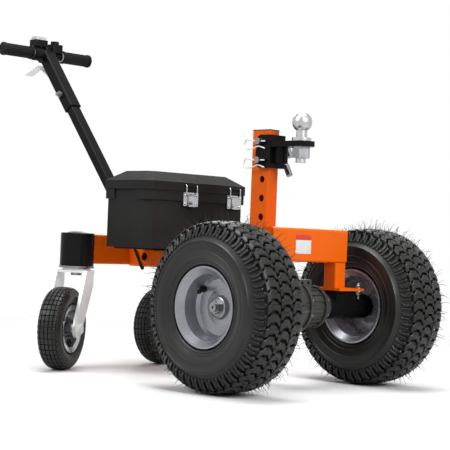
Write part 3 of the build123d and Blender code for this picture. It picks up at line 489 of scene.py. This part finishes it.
class DOLLY_OT_axle_fasteners(bpy.types.Operator):
    """Bolts of the bracket flanges, and bolts, ribs and drain plug of the gear casing"""
    bl_idname = "dolly.axle_fasteners"
    bl_label = "Axle fasteners"

    def execute(self, context):
        flange_top, flange_under = 235, 229
        corners = [(x, side * 171) for x in (-34, 34) for side in (-1, 1)]
        spread_copies(hex_bolt("flange_bolt", 12, 7, 1.6, 5), "flange_bolts", "chassis", "zinc", zinc(),
                      [along((0, 0, 1), at(x, y, flange_top)) for x, y in corners])
        spread_copies(hex_bolt("flange_nut", 13, 8, 1.6, 12), "flange_nuts", "chassis", "zinc", zinc(),
                      [along((0, 0, -1), at(x, y, flange_under)) for x, y in corners])
        spread_copies(hex_bolt("casing_bolt", 9, 6, 1), "casing_bolts", "chassis", "zinc", dull_bolt(),
                      bolt_circle(10, 54.5, -21))
        spread_copies(hex_bolt("end_bolt", 8, 5, 1), "end_bolts", "chassis", "zinc", dull_bolt(),
                      bolt_circle(8, 44, 47))
        casing, ribs = 45.5, []
        for step in range(9):
            angle = radians(-80 + 20 * step)
            spot = at(casing * cos(angle), 12, AXLE_HEIGHT + casing * sin(angle))
            ribs.append(Matrix.Translation(spot) @ Matrix.Rotation(-angle, 4, "Y"))
        spread_copies(plate("casing_rib", (7, 50, 3.4), 1), "casing_ribs", "chassis", "casting", casting(), ribs)
        plug, seat = Vector((0.62, 0, -0.78)), 0.0555
        spread_copies(hex_bolt("drain_plug_head", 17, 9, 2.5), "drain_plug", "chassis", "zinc", dull_bolt(),
                      [along(plug, at(0, -44, AXLE_HEIGHT) + plug * seat)])
        return {"FINISHED"}


class DOLLY_OT_wheel_trim(bpy.types.Operator):
    """Coned hub covers and valve stems of the drive rims"""
    bl_idname = "dolly.wheel_trim"
    bl_label = "Wheel trim"

    def execute(self, context):
        cone = lathe("hub_cover", [(27.5, 10.4), (26, 15), (23.6, 20.2), (20.8, 21.6), (20.8, 10.4)], 64)
        stem = lathe("valve_stem", [(CORE, -2), (8.5, -2), (8.5, 1), (6.5, 4), (4.6, 9), (4.1, 19), (4.9, 20),
                                    (4.9, 26), (4.2, 27.5), (CORE, 27.5)], 24)
        slope, reach, rise = Vector((-0.8, 0, 0.6)), 0.0635, 0.0158
        for side, sign in zip(SIDES, (-1, 1)):
            body, middle = "drive_wheel_" + side, centre_of("drive_tyre_" + side)
            ride_copies(cone, "hub_cover_" + side, body, "silver_paint", rim_coat(), [along((0, sign, 0), middle)])
            aim = (slope * -0.5 + Vector((0, sign, 0))).normalized()
            place = along(aim, middle + slope * reach + Vector((0, sign * rise, 0)))
            ride_copies(stem, "valve_stem_" + side, body, "grip_rubber", grip_rubber(), [place])
        remove(cone)
        remove(stem)
        return {"FINISHED"}


class DOLLY_OT_post_cap(bpy.types.Operator):
    """Black plug in the top of the hitch post"""
    bl_idname = "dolly.post_cap"
    bl_label = "Post cap"

    def execute(self, context):
        low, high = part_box("hitch_post")
        cap = plate("post_cap_block", (57, 34, 4), 1.6)
        edit(cap)
        pick(cap, lambda centre, normal: normal.z > 0.9, "FACE")
        bpy.ops.mesh.inset(thickness=0.003, depth=-0.001)
        leave_edit()
        place = Matrix.Translation(((low.x + high.x) / 2, (low.y + high.y) / 2, high.z + 0.001))
        spread_copies(cap, "post_cap", "chassis", "control_plastic", control_plastic(), [place])
        return {"FINISHED"}


class DOLLY_OT_caster_trim(bpy.types.Operator):
    """Bolts of the caster rims"""
    bl_idname = "dolly.caster_trim"
    bl_label = "Caster trim"

    def execute(self, context):
        count, circle, rise = 5, 0.034, 0.0025
        bolt = hex_bolt("rim_bolt", 10, 6, 1.2, 4)
        for side in SIDES:
            place, places = caster_axle(side), []
            for step in range(count):
                angle = 2 * pi * step / count
                spot = Matrix.Translation((circle * cos(angle), rise, circle * sin(angle)))
                places += [place @ spot, place @ Matrix.Rotation(pi, 4, "X") @ spot]
            ride_copies(bolt, "rim_bolts_" + side, "caster_wheel_" + side, "zinc", zinc(), places)
        remove(bolt)
        return {"FINISHED"}


class DOLLY_OT_latches(bpy.types.Operator):
    """Hooked levers and rivets of the box latches and the catches on the lid"""
    bl_idname = "dolly.latches"
    bl_label = "Latches"

    def execute(self, context):
        low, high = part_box("latch_plates")
        half_plate, end_face = 0.025, 0.0115
        middles = (low.y + half_plate, high.y - half_plate)
        front = high.x
        lever = plate("latch_lever", (2.4, 21, 24), 0.7)
        edit(lever)
        pick(lever, lambda centre, normal: centre.z < -end_face and normal.z < -0.9, "FACE")
        bpy.ops.mesh.extrude_region_move(TRANSFORM_OT_translate={"value": (0.005, 0, -0.005)})
        pick(lever, lambda centre, normal: centre.z > end_face and normal.z > 0.9, "FACE")
        bpy.ops.mesh.extrude_region_move(TRANSFORM_OT_translate={"value": (0.0035, 0, 0.003)})
        leave_edit()
        spread_copies(lever, "latch_levers", "chassis", "stainless", stainless(),
                      [Matrix.Translation((front + 0.0014, y, low.z + 0.0155)) for y in middles])
        rivet = lathe("latch_rivet", [(CORE, 0), (3.2, 0), (3, 1), (1.8, 1.8), (CORE, 2)], 16)
        spread_copies(rivet, "latch_rivets", "chassis", "stainless", stainless(),
                      [along((1, 0, 0), (front, y + shift, low.z + rise))
                       for y in middles for shift in (-0.0195, 0.0195) for rise in (0.006, 0.027)])
        bails_low, bails_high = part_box("latch_bails")
        spread_copies(plate("lid_catch", (6, 34, 11), 1.2), "lid_catches", "lid", "box_plastic", box_plastic(),
                      [Matrix.Translation((bails_low.x + 0.002, y, bails_high.z - 0.001)) for y in middles])
        return {"FINISHED"}


class DOLLY_OT_handle_trim(bpy.types.Operator):
    """Ribs and end caps of the grips and the clamp in the middle of the bar"""
    bl_idname = "dolly.handle_trim"
    bl_label = "Handle trim"

    def execute(self, context):
        low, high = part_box("grips")
        middle = (low + high) / 2
        ribs, radius, reach, places = 18, 0.0161, 0.1025, []
        for step in range(ribs):
            turn = Matrix.Rotation(2 * pi * step / ribs, 4, "Y") @ Matrix.Translation((0, 0, radius))
            for sign in (-1, 1):
                places.append(Matrix.Translation((middle.x, middle.y + sign * reach, middle.z)) @ turn)
        spread_copies(plate("grip_rib", (2.4, 82, 2.2), 0.8), "grip_ribs", "handle", "grip_rubber", grip_rubber(),
                      places)
        cap = lathe("grip_end", [(CORE, 0), (17, 0), (16, 2.2), (12.5, 3.6), (8, 3.8), (7, 2.6), (CORE, 2.6)], 36)
        ends = [along((0, sign, 0), (middle.x, middle.y + sign * (high.y - low.y) / 2, middle.z)) for sign in (-1, 1)]
        spread_copies(cap, "grip_ends", "handle", "grip_rubber", grip_rubber(), ends)
        clamp = plate("bar_clamp_block", (35, 42, 31), 5)
        pole_turn = Matrix.Rotation(radians(-39.5), 4, "Y")
        spread_copies(clamp, "bar_clamp", "handle", "black_paint", black_coat(),
                      [Matrix.Translation(middle) @ pole_turn])
        return {"FINISHED"}


class DOLLY_OT_label(bpy.types.Operator):
    """Blank label with a red head on the front beam"""
    bl_idname = "dolly.label"
    bl_label = "Beam label"

    def execute(self, context):
        label = plate("beam_label_sheet", (0.7, 53, 43), 0.2)
        spread_copies(label, "beam_label", "chassis", "clear_plastic", label_print(),
                      [Matrix.Translation(at(28.35, -27, 335.5))])
        return {"FINISHED"}


# Finishes

def node_tree(name):
    material = bpy.data.materials.new(name)
    material.use_nodes = True
    tree = material.node_tree
    tree.nodes.clear()
    output = tree.nodes.new("ShaderNodeOutputMaterial")
    shader = tree.nodes.new("ShaderNodeBsdfPrincipled")
    tree.links.new(shader.outputs["BSDF"], output.inputs["Surface"])
    place = tree.nodes.new("ShaderNodeTexCoord")
    return material, tree, shader, place.outputs["Object"]


def noise(tree, coords, scale, detail=4.0, stretch=None):
    if stretch:
        mapping = tree.nodes.new("ShaderNodeMapping")
        mapping.inputs["Scale"].default_value = stretch
        tree.links.new(coords, mapping.inputs["Vector"])
        coords = mapping.outputs["Vector"]
    texture = tree.nodes.new("ShaderNodeTexNoise")
    texture.inputs["Scale"].default_value = scale
    texture.inputs["Detail"].default_value = detail
    tree.links.new(coords, texture.inputs["Vector"])
    return texture.outputs["Fac"]


def ramp(tree, value, stops):
    node = tree.nodes.new("ShaderNodeValToRGB")
    node.color_ramp.elements[0].position = stops[0][0]
    node.color_ramp.elements[1].position = stops[-1][0]
    for position, _ in stops[1:-1]:
        node.color_ramp.elements.new(position)
    for element, (_, colour) in zip(node.color_ramp.elements, stops):
        element.color = (*colour, 1)
    tree.links.new(value, node.inputs["Fac"])
    return node.outputs["Color"]


def spread(tree, value, low, high):
    """Stretches the middle of a noise over a range."""
    node = tree.nodes.new("ShaderNodeMapRange")
    node.inputs["From Min"].default_value = 0.3
    node.inputs["From Max"].default_value = 0.7
    node.inputs["To Min"].default_value = low
    node.inputs["To Max"].default_value = high
    tree.links.new(value, node.inputs["Value"])
    return node.outputs["Result"]


def bump(tree, height, strength, distance):
    node = tree.nodes.new("ShaderNodeBump")
    node.inputs["Strength"].default_value = strength
    node.inputs["Distance"].default_value = distance
    tree.links.new(height, node.inputs["Height"])
    return node.outputs["Normal"]


def shade(colour, factor):
    return tuple(min(1.0, part * factor) for part in colour)


# Materials made so far, by name
MADE = {}


def surface(name, colour, vary, rough, metal=0.0, cloud=6.0, grain=400.0, grain_strength=0.15, grain_depth=0.0004,
            coat=0.0, stretch=None, shine=0.5):
    """Finish with clouded colour, uneven gloss and a fine grain."""
    if name in MADE:
        return MADE[name]
    material, tree, shader, coords = node_tree(name)
    broad = noise(tree, coords, cloud, 5.0)
    fine = noise(tree, coords, grain, 3.0, stretch)
    low, high = shade(colour, 1 - vary), shade(colour, 1 + vary)
    tree.links.new(ramp(tree, broad, [(0.3, low), (0.5, colour), (0.7, high)]), shader.inputs["Base Color"])
    tree.links.new(spread(tree, noise(tree, coords, cloud * 4, 4.0), *rough), shader.inputs["Roughness"])
    tree.links.new(bump(tree, fine, grain_strength, grain_depth), shader.inputs["Normal"])
    shader.inputs["Metallic"].default_value = metal
    shader.inputs["Specular IOR Level"].default_value = shine
    shader.inputs["Coat Weight"].default_value = coat
    shader.inputs["Coat Roughness"].default_value = 0.12
    material.diffuse_color = (*colour, 1)
    MADE[name] = material
    return material


def colours():
    return bpy.context.scene.dolly_colours


def orange_coat():
    return surface("orange_powder_coat", tuple(colours().orange), 0.03, (0.26, 0.36), cloud=5, grain=160,
                   grain_strength=0.03, shine=0.16)


def black_coat():
    return surface("black_powder_coat", tuple(colours().black), 0.2, (0.2, 0.3), cloud=9, grain=600,
                   grain_strength=0.03, shine=0.03, coat=0.09)


def tyre_rubber():
    return surface("tyre_rubber", tuple(colours().rubber), 0.3, (0.32, 0.44), cloud=14, grain=700, grain_strength=0.12,
                   shine=0.34)


def box_plastic():
    return surface("grained_box_plastic", tuple(colours().box), 0.3, (0.4, 0.55), cloud=8, grain=420,
                   grain_strength=0.22, shine=0.05)


def battery_case():
    return surface("battery_case", (0.03, 0.03, 0.035), 0.15, (0.3, 0.4), grain=700, grain_strength=0.05)


def casting():
    return surface("cast_casing", (0.06, 0.059, 0.057), 0.35, (0.35, 0.55), metal=0.5, cloud=22, grain=500,
                   grain_strength=0.2, grain_depth=0.0006, shine=0.35)


def dull_bolt():
    return surface("dull_bolt", (0.28, 0.25, 0.21), 0.2, (0.35, 0.5), metal=0.9, cloud=60, grain=400,
                   grain_strength=0.05)


def stainless():
    return surface("brushed_stainless", (0.46, 0.465, 0.475), 0.06, (0.18, 0.3), metal=1.0, cloud=20, grain=300,
                   grain_strength=0.02, stretch=(1, 12, 1))


def chrome():
    return surface("polished_ball", (0.46, 0.465, 0.475), 0.03, (0.28, 0.34), metal=1.0, cloud=15, grain=200,
                   grain_strength=0.004)


def zinc():
    return surface("bright_zinc", (0.25, 0.255, 0.265), 0.08, (0.24, 0.34), metal=1.0, cloud=18, grain=220,
                   grain_strength=0.012)


def pale_zinc():
    return surface("pale_zinc", (0.76, 0.765, 0.755), 0.05, (0.3, 0.42), metal=0.5, cloud=14, grain=260,
                   grain_strength=0.015)


def rim_coat():
    return surface("silver_rim_coat", tuple(colours().rim), 0.05, (0.24, 0.3), metal=0.55, cloud=7, grain=700,
                   grain_strength=0.004)


def grip_rubber():
    return surface("grip_rubber", (0.008, 0.008, 0.008), 0.2, (0.45, 0.6), cloud=20, grain=900, grain_strength=0.12,
                   shine=0.14)


def control_plastic():
    return surface("control_plastic", (0.009, 0.009, 0.0095), 0.15, (0.28, 0.4), cloud=20, grain=900,
                   grain_strength=0.08, shine=0.08)


def clear_plastic():
    return surface("milky_cover", (0.6, 0.62, 0.64), 0.06, (0.12, 0.2), cloud=20, grain=300, grain_strength=0.01)


def hook_metal():
    return surface("bright_strip", (0.78, 0.79, 0.8), 0.04, (0.3, 0.45), metal=0.2, cloud=20, grain=300,
                   grain_strength=0.02)


def label_print():
    """White label with a red band at its head."""
    if "label_print" in MADE:
        return MADE["label_print"]
    material, tree, shader, coords = node_tree("label_print")
    split = tree.nodes.new("ShaderNodeSeparateXYZ")
    tree.links.new(coords, split.inputs["Vector"])
    band_foot = at(0, 0, 345.5).z
    head = tree.nodes.new("ShaderNodeMath")
    head.operation = "GREATER_THAN"
    head.inputs[1].default_value = band_foot
    tree.links.new(split.outputs["Z"], head.inputs[0])
    paper = ramp(tree, noise(tree, coords, 40, 3.0), [(0.3, (0.72, 0.72, 0.7)), (0.7, (0.8, 0.8, 0.78))])
    mix = tree.nodes.new("ShaderNodeMix")
    mix.data_type = "RGBA"
    tree.links.new(head.outputs["Value"], mix.inputs["Factor"])
    tree.links.new(paper, mix.inputs["A"])
    mix.inputs["B"].default_value = (0.6, 0.03, 0.02, 1)
    tree.links.new(mix.outputs["Result"], shader.inputs["Base Color"])
    shader.inputs["Roughness"].default_value = 0.35
    material.diffuse_color = (0.8, 0.8, 0.78, 1)
    MADE["label_print"] = material
    return material


FINISHES = {
    "orange_paint": orange_coat, "black_paint": black_coat, "casting": casting, "box_plastic": box_plastic,
    "battery_case": battery_case, "stainless": stainless, "chrome": chrome, "zinc": zinc, "silver_paint": rim_coat,
    "tyre_rubber": tyre_rubber, "grip_rubber": grip_rubber, "control_plastic": control_plastic,
    "clear_plastic": clear_plastic, "hook_metal": hook_metal,
}


class DOLLY_OT_finishes(bpy.types.Operator):
    """Finishes of the solid parts that show as they are"""
    bl_idname = "dolly.finishes"
    bl_label = "Finishes"

    def execute(self, context):
        for entry in frame["record"]["subparts"]:
            node = frame["nodes"][entry["node"]]
            node.data.materials.clear()
            finish = FINISHES[entry["material_slot"]]
            if entry["node"].startswith(PALE_ZINC_NODES):
                finish = pale_zinc
            elif entry["node"].startswith(BRUSHED_NODES):
                finish = stainless
            node.data.materials.append(finish())
        return {"FINISHED"}


class DOLLY_OT_studio(bpy.types.Operator):
    """Pale floor, soft lights, white surroundings and the camera"""
    bl_idname = "dolly.studio"
    bl_label = "Studio"

    def execute(self, context):
        scene = context.scene
        scene.view_settings.view_transform = "Standard"
        self.floor()
        self.world(scene)
        for name, place, target, size, power in (
                ("key", (-0.6, -2.8, 2.4), (0, -0.1, 0.3), 1.6, 54),
                ("front", (3.0, -0.4, 1.9), (0.2, 0, 0.3), 1.4, 70),
                ("top", (0.2, 0, 3.2), (0, 0, 0.2), 2.0, 92),
                ("back", (-2.4, 2.4, 2.0), (-0.2, 0, 0.4), 1.6, 26)):
            lamp = bpy.data.lights.new(name, "AREA")
            lamp.size = size
            lamp.energy = power
            light = bpy.data.objects.new(name, lamp)
            light.matrix_world = turned_to(Vector(place) - Vector(target), place)
            scene.collection.objects.link(light)
        self.camera(scene)
        return {"FINISHED"}

    def floor(self):
        clear_selection()
        bpy.ops.mesh.primitive_circle_add(vertices=64, radius=6, fill_type="NGON")
        floor = settle(bpy.context.object, "studio_floor")
        material, tree, shader, coords = node_tree("studio_floor")
        cloud = noise(tree, coords, 1.5, 2.0)
        tree.links.new(ramp(tree, cloud, [(0.3, (0.86, 0.86, 0.86)), (0.7, (0.88, 0.88, 0.88))]),
                       shader.inputs["Base Color"])
        shader.inputs["Roughness"].default_value = 0.6
        shader.inputs["Specular IOR Level"].default_value = 0.2
        distance = tree.nodes.new("ShaderNodeVectorMath")
        distance.operation = "LENGTH"
        tree.links.new(coords, distance.inputs[0])
        fade = tree.nodes.new("ShaderNodeMapRange")
        fade.inputs["From Min"].default_value = 0.9
        fade.inputs["From Max"].default_value = 2.2
        fade.inputs["To Min"].default_value = 1
        fade.inputs["To Max"].default_value = 0
        tree.links.new(distance.outputs["Value"], fade.inputs["Value"])
        tree.links.new(fade.outputs["Result"], shader.inputs["Alpha"])
        floor.data.materials.append(material)

    def world(self, scene):
        world = bpy.data.worlds.new("studio_surround")
        world.use_nodes = True
        tree = world.node_tree
        tree.nodes.clear()
        output = tree.nodes.new("ShaderNodeOutputWorld")
        seen = tree.nodes.new("ShaderNodeBackground")
        seen.inputs["Color"].default_value = (1, 1, 1, 1)
        lit = tree.nodes.new("ShaderNodeBackground")
        lit.inputs["Color"].default_value = (1, 1, 1, 1)
        lit.inputs["Strength"].default_value = 0.12
        path = tree.nodes.new("ShaderNodeLightPath")
        either = path.outputs["Is Camera Ray"]
        for ray in ("Is Glossy Ray", "Is Transmission Ray"):
            widest = tree.nodes.new("ShaderNodeMath")
            widest.operation = "MAXIMUM"
            tree.links.new(either, widest.inputs[0])
            tree.links.new(path.outputs[ray], widest.inputs[1])
            either = widest.outputs["Value"]
        mix = tree.nodes.new("ShaderNodeMixShader")
        tree.links.new(either, mix.inputs["Fac"])
        tree.links.new(lit.outputs["Background"], mix.inputs[1])
        tree.links.new(seen.outputs["Background"], mix.inputs[2])
        tree.links.new(mix.outputs["Shader"], output.inputs["Surface"])
        scene.world = world

    def camera(self, scene):
        yaw, pitch, roll = radians(44.96), radians(-0.60), radians(2.31)
        back = Vector((sin(yaw) * cos(pitch), -cos(yaw) * cos(pitch), sin(pitch)))
        right = Vector((cos(yaw), sin(yaw), 0))
        up = back.cross(right)
        across = cos(roll) * right + sin(roll) * up
        rise = -sin(roll) * right + cos(roll) * up
        lens = bpy.data.cameras.new("camera")
        lens.sensor_width = 36
        lens.lens = 109.22
        camera = bpy.data.objects.new("camera", lens)
        aim = Matrix((across, rise, back)).transposed().to_4x4()
        camera.matrix_world = Matrix.Translation((2.5705, -2.3696, 0.3402)) @ aim
        scene.collection.objects.link(camera)
        scene.camera = camera


class DOLLY_PT_panel(bpy.types.Panel):
    """Lists the dressing's sizes, colours and steps"""
    bl_label = "Trailer dolly"
    bl_idname = "DOLLY_PT_panel"
    bl_space_type = "VIEW_3D"
    bl_region_type = "UI"
    bl_category = "Dolly"

    def draw(self, context):
        scene = context.scene
        for group in (scene.dolly_colours, scene.dolly_tread):
            for name in group.bl_rna.properties.keys():
                if name not in ("rna_type", "name"):
                    self.layout.prop(group, name)
        for operator in STEPS:
            self.layout.operator(operator.bl_idname)


STEPS = (DOLLY_OT_finishes, DOLLY_OT_drive_tyres, DOLLY_OT_vent_hairs, DOLLY_OT_caster_tyres,
         DOLLY_OT_axle_fasteners, DOLLY_OT_wheel_trim, DOLLY_OT_post_cap, DOLLY_OT_caster_trim, DOLLY_OT_latches,
         DOLLY_OT_handle_trim, DOLLY_OT_label, DOLLY_OT_studio)
CLASSES = (DollyColours, DollyTread, *STEPS, DOLLY_PT_panel)


def register():
    for cls in CLASSES:
        bpy.utils.register_class(cls)
    bpy.types.Scene.dolly_colours = bpy.props.PointerProperty(type=DollyColours)
    bpy.types.Scene.dolly_tread = bpy.props.PointerProperty(type=DollyTread)


def unregister():
    del bpy.types.Scene.dolly_tread
    del bpy.types.Scene.dolly_colours
    for cls in reversed(CLASSES):
        bpy.utils.unregister_class(cls)


def main():
    register()
    for step in STEPS:
        group, name = step.bl_idname.split(".")
        getattr(getattr(bpy.ops, group), name)()


if __name__ == "__main__":
    main()
